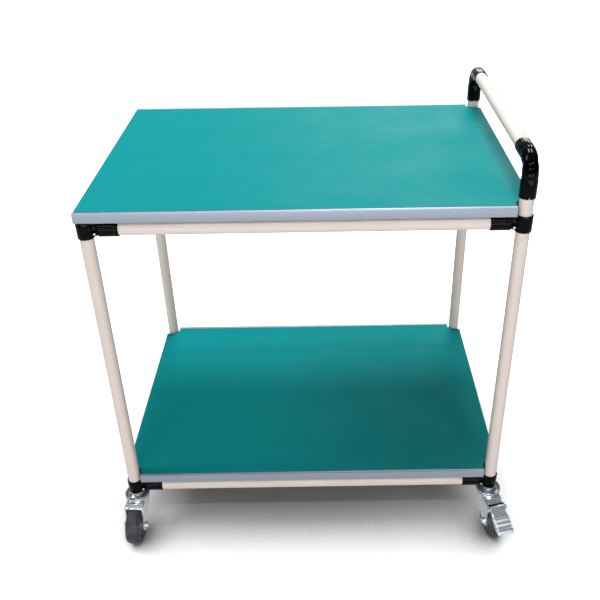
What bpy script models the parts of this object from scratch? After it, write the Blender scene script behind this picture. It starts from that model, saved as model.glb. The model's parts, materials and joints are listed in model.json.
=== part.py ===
"""Two-shelf pipe cart with green-matted decks, a push handle and four swivel casters.

Units are metres and +Z is up. The handle is on the +X side. The frame is coated pipe held in
stamped clamp joints, each made of two half shells. The two casters under the handle have a brake
pedal. Every sub-part is one object, and the moving ones have their origin on their joint's axis.
"""
import math

import bmesh
import bpy
from mathutils import Matrix, Vector

# Frame
POST_SPACING_X = 0.840
POST_SPACING_Y = 0.594
PIPE_RADIUS = 0.014
PIPE_WALL = 0.0018
FIT_GAP = 0.0003
HANDLE_HEIGHT = 0.940

# Decks: board, mat and aluminium edge strips
DECK_TOP = {"upper": 0.851, "lower": 0.177}
STRIP_HEIGHT = 0.020
STRIP_WALL = 0.0012
STRIP_LIP_THICK = 0.0016
STRIP_LIP_WIDTH = 0.0075
MAT_THICK = 0.0020
LONG_EDGE_OUT = 0.0146
SHORT_EDGE_OUT = 0.0162
NOTCH_RADIUS = 0.0178

# Clamp joints
ARM_RADIUS = 0.0162
ARM_START = 0.0245
ARM_REACH = 0.066
NECK_HALF_WIDTH = 0.0090
NECK_HALF_HEIGHT = 0.0150
COLLAR_RADIUS = 0.0168
COLLAR_UP = 0.0165
COLLAR_DOWN = 0.018
RAIL_START = 0.028
ELBOW_LEG = 0.074
ELBOW_BEND = 0.034
ELBOW_INSERT = 0.036

# Casters: the wheel trails behind the swivel axis
WHEEL_RADIUS = 0.045
WHEEL_HALF_WIDTH = 0.0148
HUB_HALF_WIDTH = 0.0182
TRAIL = 0.040
AXLE_RADIUS = 0.005
LEG_INNER = 0.0185
LEG_THICK = 0.003
CROWN_TOP = 0.101
CROWN_THICK = 0.003
CROWN_FRONT = (-0.0405, 0.0935)
RACE_RADIUS = 0.027
HEAD_RADIUS = 0.0285
HEAD_BOTTOM = 0.1058
KINGPIN_RADIUS = 0.006
STEM_RADIUS = 0.0115
STEM_TOP = 0.165
PEDAL_PIN = Vector((0.0, -0.053, 0.0935))
PEDAL_PIN_RADIUS = 0.003
PEDAL_HINGE_HALF_WIDTH = 0.0175
PEDAL_TIP_HALF_WIDTH = 0.0200

# How far each caster is turned about its own vertical axis, in degrees
CASTER_TURN = {
    "front_left": -5.0,
    "front_right": 14.0,
    "back_left": 185.0,
    "back_right": 166.0,
}
BRAKED = ("front_right", "back_right")

PIPE_SIDES = 16
TURNED_SIDES = 16
WHEEL_SIDES = 24
HEX_SIDES = 12
BEND_STEPS = 5

HALF_X = POST_SPACING_X / 2
HALF_Y = POST_SPACING_Y / 2
LEG_OUTER = LEG_INNER + LEG_THICK
RAIL_DROP = STRIP_HEIGHT + FIT_GAP + COLLAR_UP
SIDE_SIGN = {"left": -1, "right": 1, "front": -1, "back": 1}
CORNERS = ("front_left", "front_right", "back_left", "back_right")


def new_material(name, color, roughness, metallic):
    """Makes a Principled material from a linear RGB colour."""
    material = bpy.data.materials.new(name)
    material.use_nodes = True
    shader = material.node_tree.nodes["Principled BSDF"]
    shader.inputs["Base Color"].default_value = (*color, 1.0)
    shader.inputs["Roughness"].default_value = roughness
    shader.inputs["Metallic"].default_value = metallic
    material.diffuse_color = (*color, 1.0)
    return material


FINISHES = {
    "pipe": ((0.68, 0.64, 0.58), 0.35, 0.0),
    "joint": ((0.01, 0.01, 0.01), 0.2, 0.3),
    "board": ((0.03, 0.03, 0.03), 0.7, 0.0),
    "mat": ((0.03, 0.38, 0.36), 0.5, 0.0),
    "strip": ((0.50, 0.54, 0.62), 0.35, 1.0),
    "zinc": ((0.62, 0.66, 0.70), 0.25, 1.0),
    "rubber": ((0.06, 0.06, 0.07), 0.6, 0.0),
}


def corner_signs(corner):
    """Gives the X and Y signs of a corner such as front_left."""
    depth_side, width_side = corner.split("_")
    return SIDE_SIGN[width_side], SIDE_SIGN[depth_side]


def corner_point(corner, height):
    sign_x, sign_y = corner_signs(corner)
    return Vector((sign_x * HALF_X, sign_y * HALF_Y, height))


def face_outward(shape):
    """Makes a closed bmesh's faces agree, and turns them round where they enclose a negative volume."""
    bmesh.ops.recalc_face_normals(shape, faces=shape.faces)
    if shape.calc_volume(signed=True) < 0:
        bmesh.ops.reverse_faces(shape, faces=shape.faces)


def add_part(name, mesh_data, finish, location=(0, 0, 0), turn=0.0):
    """Adds a named object made from a bmesh, with a material of its own."""
    face_outward(mesh_data)
    mesh = bpy.data.meshes.new(name)
    mesh_data.to_mesh(mesh)
    mesh_data.free()
    mesh.materials.append(new_material(name, *FINISHES[finish]))
    mesh.shade_smooth()
    mesh.set_sharp_from_angle(angle=math.radians(35))
    part = bpy.data.objects.new(name, mesh)
    part.location = location
    part.rotation_euler = (0, 0, turn)
    bpy.context.scene.collection.objects.link(part)
    return part


def combine(mesh_data, tool_data, operation):
    """Applies an exact Boolean to two bmeshes, frees them and gives the result."""
    scratch = []
    for source in (mesh_data, tool_data):
        face_outward(source)
        mesh = bpy.data.meshes.new("scratch")
        source.to_mesh(mesh)
        source.free()
        holder = bpy.data.objects.new("scratch", mesh)
        bpy.context.scene.collection.objects.link(holder)
        scratch.append(holder)
    base, tool = scratch
    modifier = base.modifiers.new("combine", "BOOLEAN")
    modifier.operation = operation
    modifier.solver = "EXACT"
    modifier.object = tool
    depsgraph = bpy.context.evaluated_depsgraph_get()
    result = bmesh.new()
    result.from_object(base, depsgraph)
    bmesh.ops.remove_doubles(result, verts=result.verts, dist=1e-6)
    for holder in scratch:
        bpy.data.objects.remove(holder)
    return result


def loft(rings, closed=False):
    """Joins rings of points with quads, and caps the two ends or joins the last to the first."""
    shape = bmesh.new()
    made = [[shape.verts.new(point) for point in ring] for ring in rings]
    count = len(made[0])
    pairs = list(zip(made, made[1:]))
    if closed:
        pairs.append((made[-1], made[0]))
    for one, two in pairs:
        for i in range(count):
            j = (i + 1) % count
            shape.faces.new((one[i], one[j], two[j], two[i]))
    if not closed:
        shape.faces.new(made[0])
        shape.faces.new(made[-1])
    return shape


def turned(profile, sides, closed=False, phase=0.0):
    """Turns a profile of (radius, height) points about Z. A closed profile makes a ring."""
    rings = []
    for radius, height in profile:
        ring = []
        for i in range(sides):
            angle = 2 * math.pi * (i + phase) / sides
            ring.append((radius * math.cos(angle), radius * math.sin(angle), height))
        rings.append(ring)
    return loft(rings, closed)


def along_x(shape):
    """Lays a shape that was turned about Z along the X axis."""
    shape.transform(Matrix.Rotation(math.pi / 2, 4, "Y"))
    return shape


def along_y(shape):
    """Lays a shape that was turned about Z along the Y axis."""
    shape.transform(Matrix.Rotation(-math.pi / 2, 4, "X"))
    return shape


def rod(radius, low, high, sides=PIPE_SIDES, phase=0.0):
    return turned([(radius, low), (radius, high)], sides, phase=phase)


def pipe(length_low, length_high):
    """Makes a hollow pipe along Z between two heights."""
    inner = PIPE_RADIUS - PIPE_WALL
    profile = [
        (PIPE_RADIUS, length_low),
        (PIPE_RADIUS, length_high),
        (inner, length_high),
        (inner, length_low),
    ]
    return turned(profile, PIPE_SIDES, closed=True)


def extruded_x(outline, low, high):
    """Extrudes an outline of (y, z) points from x=low to x=high."""
    return loft([[(x, y, z) for y, z in outline] for x in (low, high)])


def extruded_z(outline, low, high):
    """Extrudes an outline of (x, y) points from z=low to z=high."""
    return loft([[(x, y, z) for x, y in outline] for z in (low, high)])


def box(low, high):
    outline = [(low[0], low[1]), (high[0], low[1]), (high[0], high[1]), (low[0], high[1])]
    return extruded_z(outline, low[2], high[2])


def arc(center, radius, start, stop, steps):
    """Gives points on an arc between two angles in degrees, both ends included."""
    points = []
    for i in range(steps + 1):
        angle = math.radians(start + (stop - start) * i / steps)
        points.append((center[0] + radius * math.cos(angle), center[1] + radius * math.sin(angle)))
    return points


# Frame pipes

def rail_height(level):
    return DECK_TOP[level] - RAIL_DROP


def post_foot():
    """Height of a post's lower end, flush with its lower joint."""
    return rail_height("lower") - COLLAR_DOWN


def make_posts():
    """The two posts on the handle side run up into the elbows, the others end under the deck."""
    deck_post_top = rail_height("upper") + COLLAR_UP
    handle_post_top = HANDLE_HEIGHT - ELBOW_LEG + ELBOW_INSERT
    for corner in CORNERS:
        top = handle_post_top if corner.endswith("right") else deck_post_top
        shape = pipe(post_foot(), top)
        add_part("post_" + corner, shape, "pipe", corner_point(corner, 0))


def make_rails():
    for level in DECK_TOP:
        height = rail_height(level)
        for side in ("front", "back"):
            half = HALF_X - RAIL_START
            shape = along_x(pipe(-half, half))
            add_part(f"{level}_rail_{side}", shape, "pipe", (0, SIDE_SIGN[side] * HALF_Y, height))
        for side in ("left", "right"):
            half = HALF_Y - RAIL_START
            shape = along_y(pipe(-half, half))
            add_part(f"{level}_rail_{side}", shape, "pipe", (SIDE_SIGN[side] * HALF_X, 0, height))


def make_handle_bar():
    half = HALF_Y - ELBOW_LEG + ELBOW_INSERT
    add_part("handle_bar", along_y(pipe(-half, half)), "pipe", (HALF_X, 0, HANDLE_HEIGHT))


# Clamp joints

def joint_arm():
    """Makes an arm along X: a flattened neck at the collar, for the clamp bolt, and a pipe sleeve."""
    stations = [
        (0, NECK_HALF_WIDTH, NECK_HALF_HEIGHT),
        (ARM_START - 0.003, NECK_HALF_WIDTH, NECK_HALF_HEIGHT),
        (ARM_START, ARM_RADIUS, ARM_RADIUS),
        (ARM_REACH, ARM_RADIUS, ARM_RADIUS),
    ]
    rings = []
    for x, half_width, half_height in stations:
        ring = []
        for i in range(PIPE_SIDES):
            angle = 2 * math.pi * i / PIPE_SIDES
            ring.append((x, half_width * math.cos(angle), half_height * math.sin(angle)))
        rings.append(ring)
    return loft(rings)


def corner_joint():
    """Makes a whole three-way joint, with its arms along +X and +Y and its collar on Z."""
    bore = PIPE_RADIUS + FIT_GAP
    arm_bore_start = RAIL_START - FIT_GAP
    past_end = ARM_REACH + 0.01
    shape = rod(COLLAR_RADIUS, -COLLAR_DOWN, COLLAR_UP, phase=0.5)
    for turn in (0, math.pi / 2):
        arm = joint_arm()
        arm.transform(Matrix.Rotation(turn, 4, "Z"))
        shape = combine(shape, arm, "UNION")
    for lay in (along_x, along_y):
        shape = combine(shape, lay(rod(bore, arm_bore_start, past_end)), "DIFFERENCE")
    return combine(shape, rod(bore, -COLLAR_DOWN - 0.01, COLLAR_UP + 0.01), "DIFFERENCE")


def make_corner_joints():
    """Splits each three-way joint along its two vertical mid planes into an outer and inner shell."""
    reach = 0.1
    seam = FIT_GAP / 2
    cuts = {
        "outer": ("DIFFERENCE", -seam),
        "inner": ("INTERSECT", seam),
    }
    for half, (operation, edge) in cuts.items():
        shell = combine(corner_joint(), box((edge, edge, -reach), (reach, reach, reach)), operation)
        for level in DECK_TOP:
            for corner in CORNERS:
                sign_x, sign_y = corner_signs(corner)
                shape = shell.copy()
                shape.transform(Matrix.Diagonal((-sign_x, -sign_y, 1, 1)))
                place = corner_point(corner, rail_height(level))
                add_part(f"{level}_joint_{corner}_{half}", shape, "joint", place)
        shell.free()


def elbow_path():
    """Gives (y, z, tilt) stations along an elbow whose post leg is on Z and bar leg on +Y."""
    stations = [(0, -ELBOW_LEG, 0.0)]
    for i in range(BEND_STEPS + 1):
        tilt = math.radians(90) * i / BEND_STEPS
        y = ELBOW_BEND * (1 - math.cos(tilt))
        z = ELBOW_BEND * (math.sin(tilt) - 1)
        stations.append((y, z, tilt))
    stations.append((ELBOW_LEG, 0, math.radians(90)))
    return stations


def elbow_half(side):
    """Sweeps half a ring along the elbow. The seam lies in the plane of the bend."""
    steps = PIPE_SIDES // 2
    seam = FIT_GAP / 2
    outer = arc((0, 0), ARM_RADIUS, -90, 90, steps)
    inner = arc((0, 0), PIPE_RADIUS + FIT_GAP, 90, -90, steps)
    section = [(max(out, 0) + seam, across) for out, across in outer + inner]
    rings = []
    for y, z, tilt in elbow_path():
        ring = []
        for out, across in section:
            ring.append((side * out, y - across * math.cos(tilt), z + across * math.sin(tilt)))
        rings.append(ring)
    return loft(rings)


def make_elbows():
    for depth_side in ("front", "back"):
        inward = -SIDE_SIGN[depth_side]
        place = corner_point(depth_side + "_right", HANDLE_HEIGHT)
        for half, side in (("outer", 1), ("inner", -1)):
            shape = elbow_half(side)
            shape.transform(Matrix.Diagonal((1, inward, 1, 1)))
            add_part(f"elbow_{depth_side}_{half}", shape, "joint", place)


# Decks

def deck_outline(half_x, half_y, notched_corners):
    """Gives a deck's outline, with a round notch about the post at each named corner."""
    turns = (("front_left", 90, 0), ("front_right", 180, 90))
    turns += (("back_right", 270, 180), ("back_left", 360, 270))
    outline = []
    for corner, start, stop in turns:
        sign_x, sign_y = corner_signs(corner)
        if corner not in notched_corners:
            outline.append((sign_x * half_x, sign_y * half_y))
            continue
        center = (sign_x * HALF_X, sign_y * HALF_Y)
        first, *middle, last = arc(center, NOTCH_RADIUS, start, stop, 4)
        if sign_x == sign_y:
            outline.append((sign_x * half_x, first[1]))
        else:
            outline.append((first[0], sign_y * half_y))
        outline += [first, *middle, last]
        if sign_x == sign_y:
            outline.append((last[0], sign_y * half_y))
        else:
            outline.append((sign_x * half_x, last[1]))
    return outline


def make_decks():
    """Each deck is a board with a mat on it and a channel strip along its two long edges."""
    half_x = HALF_X + SHORT_EDGE_OUT
    strip_out = HALF_Y + LONG_EDGE_OUT
    board_half_y = strip_out - STRIP_WALL - FIT_GAP
    mat_half_y = strip_out - STRIP_LIP_WIDTH - FIT_GAP
    notched = {"upper": ("front_right", "back_right"), "lower": CORNERS}
    for level, top in DECK_TOP.items():
        bottom = top - STRIP_HEIGHT
        board_low = bottom + STRIP_WALL + FIT_GAP
        board_high = top - STRIP_LIP_THICK - FIT_GAP
        outline = deck_outline(half_x, board_half_y, notched[level])
        add_part(f"{level}_board", extruded_z(outline, board_low, board_high), "board")
        outline = deck_outline(half_x, mat_half_y, notched[level])
        mat_low = board_high + FIT_GAP
        add_part(f"{level}_mat", extruded_z(outline, mat_low, mat_low + MAT_THICK), "mat")
        for side in ("front", "back"):
            make_strip(level, side, strip_out, bottom, notched[level])


def make_strip(level, side, strip_out, bottom, notched):
    """A channel strip, open toward the board. It stops short of a post that stands in a notch."""
    lip = strip_out - STRIP_LIP_WIDTH
    wall = strip_out - STRIP_WALL
    top = bottom + STRIP_HEIGHT
    outline = [
        (strip_out, bottom),
        (strip_out, top),
        (lip, top),
        (lip, top - STRIP_LIP_THICK),
        (wall, top - STRIP_LIP_THICK),
        (wall, bottom + STRIP_WALL),
        (lip, bottom + STRIP_WALL),
        (lip, bottom),
    ]
    ends = []
    for end in ("left", "right"):
        at_notch = f"{side}_{end}" in notched
        reach = HALF_X - NOTCH_RADIUS if at_notch else HALF_X + SHORT_EDGE_OUT
        ends.append(SIDE_SIGN[end] * reach)
    outline = [(SIDE_SIGN[side] * y, z) for y, z in outline]
    add_part(f"{level}_edge_strip_{side}", extruded_x(outline, *ends), "strip")


# Casters, each modelled with its swivel axis on Z and its wheel trailing toward -Y

def caster_head():
    """Stem, hex collar and upper race, fixed to the post, with the kingpin rivet below."""
    profile = [
        (STEM_RADIUS - 0.0015, STEM_TOP),
        (STEM_RADIUS, STEM_TOP - 0.002),
        (STEM_RADIUS, post_foot() - FIT_GAP),
        (0.0145, post_foot() - FIT_GAP),
        (0.0145, 0.1125),
        (0.0210, 0.1115),
        (0.0250, 0.1135),
        (HEAD_RADIUS, 0.1120),
        (HEAD_RADIUS, HEAD_BOTTOM),
        (KINGPIN_RADIUS, HEAD_BOTTOM),
        (KINGPIN_RADIUS, 0.0972),
        (0.0095, 0.0972),
        (0.0080, 0.0945),
    ]
    return turned(profile, TURNED_SIDES)


def leg_outline(braked):
    """Side view of a fork leg: wide at the crown, round about the axle, (y, z) points."""
    foot = arc((-TRAIL, WHEEL_RADIUS), 0.013, -10, -200, 7)
    front = [(-0.0440, 0.0700), CROWN_FRONT]
    if braked:
        pin = arc((PEDAL_PIN.y, PEDAL_PIN.z), 0.0065, 250, 70, 5)
        front = [(-0.0500, 0.0700), *pin]
    rear = [(-0.0290, CROWN_TOP), (0.0250, CROWN_TOP), (0.0235, 0.0900)]
    return foot + front + rear


def fork(braked):
    """Crown plate with the lower race on it, and a leg on each side of the wheel."""
    crown_low = CROWN_TOP - CROWN_THICK
    front_y, front_z = CROWN_FRONT
    crown = [
        (0.024, CROWN_TOP),
        (-0.029, CROWN_TOP),
        (front_y, front_z),
        (front_y + 0.0014, front_z - 0.0026),
        (-0.0283, crown_low),
        (0.024, crown_low),
    ]
    shape = extruded_x(crown, -LEG_OUTER + 0.001, LEG_OUTER - 0.001)
    shape = combine(shape, rod(RACE_RADIUS, crown_low + 0.001, HEAD_BOTTOM - FIT_GAP), "UNION")
    outline = leg_outline(braked)
    for low in (-LEG_OUTER, LEG_INNER):
        shape = combine(shape, extruded_x(outline, low, low + LEG_THICK), "UNION")
    kingpin_hole = rod(KINGPIN_RADIUS + FIT_GAP, 0.09, 0.11, sides=TURNED_SIDES)
    shape = combine(shape, kingpin_hole, "DIFFERENCE")
    holes = [((0, -TRAIL, WHEEL_RADIUS), AXLE_RADIUS)]
    if braked:
        holes.append((PEDAL_PIN, PEDAL_PIN_RADIUS))
    for place, radius in holes:
        hole = along_x(rod(radius + FIT_GAP, -0.03, 0.03, sides=HEX_SIDES))
        hole.transform(Matrix.Translation(place))
        shape = combine(shape, hole, "DIFFERENCE")
    return shape


def hex_ring(across_flats, x):
    """Gives a hexagon at x, with a point at each corner and each middle of a side."""
    ring = []
    for i in range(HEX_SIDES):
        angle = 2 * math.pi * i / HEX_SIDES
        radius = across_flats / 2
        if i % 2 == 0:
            radius /= math.cos(math.pi / 6)
        ring.append((x, radius * math.cos(angle), radius * math.sin(angle)))
    return ring


def round_ring(radius, x):
    ring = []
    for i in range(HEX_SIDES):
        angle = 2 * math.pi * i / HEX_SIDES
        ring.append((x, radius * math.cos(angle), radius * math.sin(angle)))
    return ring


def axle_bolt():
    """Axle along X: a hex head on one side, and the nut that is tightened on the other."""
    face = LEG_OUTER + FIT_GAP
    across = 0.013
    rings = [
        round_ring(AXLE_RADIUS + 0.0005, -face - 0.0055),
        hex_ring(across, -face - 0.0045),
        hex_ring(across, -face),
        round_ring(AXLE_RADIUS, -face),
        round_ring(AXLE_RADIUS, face),
        hex_ring(across, face),
        hex_ring(across, face + 0.006),
        round_ring(AXLE_RADIUS - 0.001, face + 0.006),
        round_ring(AXLE_RADIUS - 0.001, face + 0.009),
    ]
    return loft(rings)


def wheel():
    """Wheel along X: tread bonded to its core, with a bore for the axle."""
    bore = AXLE_RADIUS + FIT_GAP
    half_profile = [
        (bore, HUB_HALF_WIDTH),
        (0.0110, HUB_HALF_WIDTH),
        (0.0130, 0.0120),
        (0.0310, 0.0120),
        (0.0340, WHEEL_HALF_WIDTH),
        (0.0405, WHEEL_HALF_WIDTH),
        (0.0443, 0.0115),
        (WHEEL_RADIUS, 0.0050),
    ]
    mirrored = [(radius, -height) for radius, height in reversed(half_profile)]
    return along_x(turned(half_profile + mirrored, WHEEL_SIDES, closed=True))


def pedal():
    """Brake pedal about its pin: a stamped plate that slopes down over the wheel, with steps."""
    plate = [
        (0.0050, 0.0015),
        (-0.0030, 0.0050),
        (-0.0300, -0.0080),
        (-0.0320, -0.0060),
        (-0.0370, -0.0090),
        (-0.0380, -0.0125),
        (-0.0410, -0.0115),
        (-0.0470, -0.0155),
        (-0.0480, -0.0190),
        (-0.0555, -0.0235),
        (-0.0580, -0.0270),
        (-0.0560, -0.0280),
        (-0.0300, -0.0115),
        (-0.0030, 0.0015),
    ]
    sides = []
    for side in (-1, 1):
        ring = []
        for y, z in plate:
            half_width = PEDAL_TIP_HALF_WIDTH if y < -0.02 else PEDAL_HINGE_HALF_WIDTH
            ring.append((side * half_width, y, z))
        sides.append(ring)
    shape = loft(sides)
    pin = along_x(rod(PEDAL_PIN_RADIUS, -LEG_OUTER - 0.002, LEG_OUTER + 0.002, sides=HEX_SIDES))
    return combine(shape, pin, "UNION")


def make_casters():
    for corner in CORNERS:
        turn = math.radians(CASTER_TURN[corner])
        place = corner_point(corner, 0)
        braked = corner in BRAKED
        turned_about = Matrix.Rotation(turn, 3, "Z")
        axle_place = place + turned_about @ Vector((0, -TRAIL, WHEEL_RADIUS))
        add_part("caster_head_" + corner, caster_head(), "zinc", place)
        add_part("caster_fork_" + corner, fork(braked), "zinc", place, turn)
        add_part("caster_axle_" + corner, axle_bolt(), "zinc", axle_place, turn)
        add_part("caster_wheel_" + corner, wheel(), "rubber", axle_place, turn)
        if braked:
            pin_place = place + turned_about @ PEDAL_PIN
            add_part("brake_pedal_" + corner, pedal(), "zinc", pin_place, turn)


def center_on_origin():
    """Moves the parts so that the middle of the cart's footprint is on the origin."""
    bpy.context.view_layer.update()
    corners = []
    for part in bpy.context.scene.objects:
        corners += [part.matrix_world @ vertex.co for vertex in part.data.vertices]
    low = Vector([min(point[i] for point in corners) for i in range(3)])
    high = Vector([max(point[i] for point in corners) for i in range(3)])
    middle = (low + high) / 2
    for part in bpy.context.scene.objects:
        part.location -= Vector((middle.x, middle.y, low.z))
    bpy.context.view_layer.update()


def main():
    for old in list(bpy.data.objects):
        bpy.data.objects.remove(old)
    make_posts()
    make_rails()
    make_handle_bar()
    make_corner_joints()
    make_elbows()
    make_decks()
    make_casters()
    center_on_origin()


main()
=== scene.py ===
"""The finished pipe cart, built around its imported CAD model.

Every visible piece is made here at full detail, in metres, in the CAD model's own frame. Places
and main sizes are read from the CAD nodes' boxes and from the joints.
"""

import json
import math

import bmesh
import bpy
from mathutils import Matrix, Vector, noise


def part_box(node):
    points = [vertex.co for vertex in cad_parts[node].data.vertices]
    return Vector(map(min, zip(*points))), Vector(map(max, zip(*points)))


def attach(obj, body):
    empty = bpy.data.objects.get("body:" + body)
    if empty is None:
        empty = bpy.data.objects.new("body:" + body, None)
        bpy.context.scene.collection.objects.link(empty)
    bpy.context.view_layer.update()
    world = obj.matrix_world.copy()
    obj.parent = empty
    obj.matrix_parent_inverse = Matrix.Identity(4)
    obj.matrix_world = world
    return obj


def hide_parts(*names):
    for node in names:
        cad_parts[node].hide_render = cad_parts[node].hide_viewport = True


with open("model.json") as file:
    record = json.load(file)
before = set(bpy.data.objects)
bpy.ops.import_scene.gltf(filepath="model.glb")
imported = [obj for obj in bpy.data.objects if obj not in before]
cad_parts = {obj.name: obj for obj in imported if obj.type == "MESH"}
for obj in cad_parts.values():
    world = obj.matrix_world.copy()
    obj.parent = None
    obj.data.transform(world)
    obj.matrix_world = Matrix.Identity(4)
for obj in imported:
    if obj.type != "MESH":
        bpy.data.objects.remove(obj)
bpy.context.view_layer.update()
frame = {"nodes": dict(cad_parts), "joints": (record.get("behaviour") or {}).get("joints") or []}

CORNERS = ("front_left", "front_right", "back_left", "back_right")
LEVELS = ("upper", "lower")
JOINTS = {joint["name"]: joint for joint in frame["joints"]}
IDENTITY = Matrix.Identity(4)
X, Y, Z = range(3)
TO_X = Matrix.Rotation(math.pi / 2, 4, "Y")
TO_Y = Matrix.Rotation(-math.pi / 2, 4, "X")
SWAP_XY = Matrix(((0, 1, 0, 0), (1, 0, 0, 0), (0, 0, 1, 0), (0, 0, 0, 1)))
FIT_GAP = 0.0003
FINE_SIDES = 96
PIPE_SIDES = 72
HEX_SIDES = 24


# Materials

def remap(tree, source, low, high, start=0.0, stop=1.0):
    """Takes a value from the range low to high to the range start to stop."""
    made = tree.nodes.new("ShaderNodeMapRange")
    for name, value in zip(("From Min", "From Max", "To Min", "To Max"), (low, high, start, stop)):
        made.inputs[name].default_value = value
    tree.links.new(source, made.inputs["Value"])
    return made.outputs["Result"]


class Finish:
    """A Principled material, with short ways to add procedural detail to it."""

    def __init__(self, name, color, roughness, metallic=0.0, **sockets):
        self.material = bpy.data.materials.new(name)
        self.material.use_nodes = True
        self.tree = self.material.node_tree
        self.shader = self.tree.nodes["Principled BSDF"]
        self.set_socket("Base Color", (*color, 1.0))
        self.set_socket("Roughness", roughness)
        self.set_socket("Metallic", metallic)
        for socket, value in sockets.items():
            self.set_socket(socket.replace("_", " "), value)

    def set_socket(self, name, value):
        self.shader.inputs[name].default_value = value

    def node(self, kind, **settings):
        made = self.tree.nodes.new("ShaderNode" + kind)
        for name, value in settings.items():
            setattr(made, name, value)
        return made

    def link(self, output, socket):
        self.tree.links.new(output, socket)

    def place(self, stretch=(1, 1, 1)):
        """Object coordinates in metres, moved by an amount of the object's own, and stretched."""
        coordinates = self.node("TexCoord").outputs["Object"]
        own = self.node("ObjectInfo").outputs["Random"]
        shift = self.node("VectorMath", operation="MULTIPLY_ADD")
        self.link(own, shift.inputs[0])
        shift.inputs[1].default_value = (3.1, 5.3, 7.7)
        self.link(coordinates, shift.inputs[2])
        mapping = self.node("Mapping")
        mapping.inputs["Scale"].default_value = stretch
        self.link(shift.outputs[0], mapping.inputs["Vector"])
        return mapping.outputs["Vector"]

    def noise(self, scale, stretch=(1, 1, 1), detail=4.0, distortion=0.0):
        made = self.node("TexNoise")
        made.inputs["Scale"].default_value = scale
        made.inputs["Detail"].default_value = detail
        made.inputs["Distortion"].default_value = distortion
        self.link(self.place(stretch), made.inputs["Vector"])
        return made.outputs["Fac"]

    def tint(self, source, low, high, amount, color):
        """Mixes another colour into the base colour, by up to amount, as source goes from low to high."""
        factor = remap(self.tree, source, low, high, 0.0, amount)
        mix = self.node("Mix", data_type="RGBA")
        socket = self.shader.inputs["Base Color"]
        if socket.is_linked:
            self.link(socket.links[0].from_socket, mix.inputs["A"])
        else:
            mix.inputs["A"].default_value = socket.default_value
        mix.inputs["B"].default_value = (*color, 1.0)
        self.link(factor, mix.inputs["Factor"])
        self.link(mix.outputs["Result"], socket)

    def vary_roughness(self, source, low, high, start, stop):
        self.link(remap(self.tree, source, low, high, start, stop), self.shader.inputs["Roughness"])

    def bump(self, height, depth):
        """Adds relief, with its depth in metres."""
        made = self.node("Bump")
        made.inputs["Strength"].default_value = 1.0
        made.inputs["Distance"].default_value = depth
        self.link(height, made.inputs["Height"])
        socket = self.shader.inputs["Normal"]
        if socket.is_linked:
            self.link(socket.links[0].from_socket, made.inputs["Normal"])
        self.link(made.outputs["Normal"], socket)


def coated_pipe_finish():
    """Ivory plastic coat: faint draw lines along the pipe, soft mottling, a few dull scuffs."""
    finish = Finish("pipe_coat", (0.715, 0.628, 0.578), 0.42, Coat_Weight=0.08, Coat_Roughness=0.15)
    mottle = finish.noise(9.0, detail=5.0)
    finish.tint(mottle, 0.35, 0.75, 0.30, (0.645, 0.560, 0.505))
    scuff = finish.noise(34.0, stretch=(1, 1, 0.12), detail=8.0, distortion=0.6)
    worn = remap(finish.tree, scuff, 0.63, 0.72)
    finish.tint(scuff, 0.62, 0.74, 0.35, (0.46, 0.43, 0.40))
    finish.vary_roughness(mottle, 0.3, 0.7, 0.36, 0.52)
    finish.bump(finish.noise(900.0, stretch=(1, 1, 0.01), detail=2.0), 0.000010)
    finish.bump(finish.noise(260.0, detail=2.0), 0.000012)
    finish.bump(worn, -0.00001)
    return finish.material


def steel_core_finish():
    finish = Finish("pipe_steel", (0.36, 0.36, 0.37), 0.45, metallic=1.0)
    finish.vary_roughness(finish.noise(120.0), 0.3, 0.7, 0.35, 0.6)
    finish.tint(finish.noise(60.0), 0.5, 0.7, 0.5, (0.20, 0.17, 0.15))
    return finish.material


def black_joint_finish():
    """Glossy black coat on pressed steel: wavy highlights, edges rubbed a little duller."""
    finish = Finish("joint_black", (0.0014, 0.0014, 0.0018), 0.07)
    finish.set_socket("Specular IOR Level", 0.085)
    cloud = finish.noise(45.0, detail=3.0)
    finish.vary_roughness(cloud, 0.3, 0.72, 0.04, 0.11)
    finish.tint(finish.noise(420.0, detail=6.0), 0.62, 0.74, 0.4, (0.010, 0.010, 0.011))
    finish.bump(finish.noise(72.0, detail=1.2), 0.00048)
    finish.bump(finish.noise(1400.0, detail=2.0), 0.000006)
    return finish.material


def zinc_finish(name, color, rough_low, rough_high):
    """Bright zinc on pressed steel: cloudy sheen, faint spangle and fine scratches."""
    finish = Finish(name, color, rough_low, metallic=0.72)
    cloud = finish.noise(85.0, detail=5.0)
    finish.vary_roughness(cloud, 0.3, 0.72, rough_low, rough_high)
    dark = [value * 0.62 for value in color]
    finish.tint(finish.noise(110.0, detail=4.0, distortion=0.6), 0.5, 0.74, 0.22, dark)
    finish.tint(finish.noise(40.0, detail=2.0), 0.52, 0.7, 0.15, (0.60, 0.66, 0.62))
    finish.bump(finish.noise(90.0, detail=1.0), 0.00004)
    finish.bump(finish.noise(700.0, stretch=(1, 0.08, 1), detail=3.0), 0.000004)
    return finish.material


def edge_strip_finish():
    """Satin anodised aluminium with brush lines along X and a few dull handling marks."""
    finish = Finish("strip_aluminium", (0.325, 0.370, 0.450), 0.40, metallic=0.5)
    brush = finish.noise(1500.0, stretch=(0.004, 1, 1), detail=2.0)
    marks = finish.noise(14.0, stretch=(0.4, 1, 1), detail=6.0)
    finish.vary_roughness(marks, 0.3, 0.75, 0.36, 0.50)
    finish.tint(brush, 0.3, 0.75, 0.22, (0.39, 0.44, 0.53))
    finish.tint(marks, 0.6, 0.78, 0.25, (0.19, 0.22, 0.28))
    finish.bump(brush, 0.000006)
    return finish.material


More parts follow.
